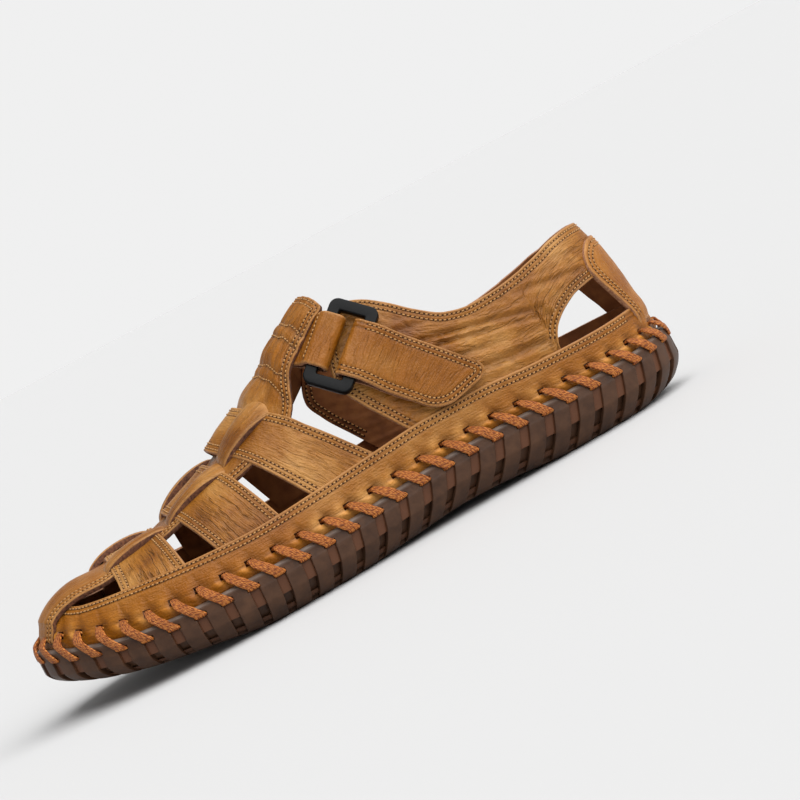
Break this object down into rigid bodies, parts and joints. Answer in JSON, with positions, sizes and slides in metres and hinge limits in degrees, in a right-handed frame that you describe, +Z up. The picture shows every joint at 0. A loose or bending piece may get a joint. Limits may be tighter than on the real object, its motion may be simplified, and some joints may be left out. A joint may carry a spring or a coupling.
{
  "type": "hiking sandal",
  "caption": "Closed-toe leather hiking sandal, left shoe: a woven strap upper whip-laced round its edge to a ribbed rubber cup sole, with a ring and a hook-and-loop strap.",
  "frame": {"origin": "middle of the shoe's bounding box, on the plane it stands on", "axes": "+X from heel to toe, +Y to the outer side of the foot, +Z up"},
  "size_m": [0.2918, 0.102, 0.1071],
  "materials": {
    "outsole_rubber": "moulded, satin, dark brown",
    "insole_board": "smooth brown footbed leather",
    "upper_leather": "waxed tan leather with soft creases",
    "lace_braid": "flat braid, orange brown",
    "tab_leather": "waxed tan leather",
    "ring_metal": "satin black",
    "strap_leather": "waxed tan leather"
  },
  "bodies": {
    "root": {"outsole": "outsole_rubber", "insole": "insole_board", "upper": "upper_leather", "edge_lacing": "lace_braid", "ring_tab": "tab_leather", "ring": "ring_metal", "closure_strap": "strap_leather"}
  },
  "joints": []
}
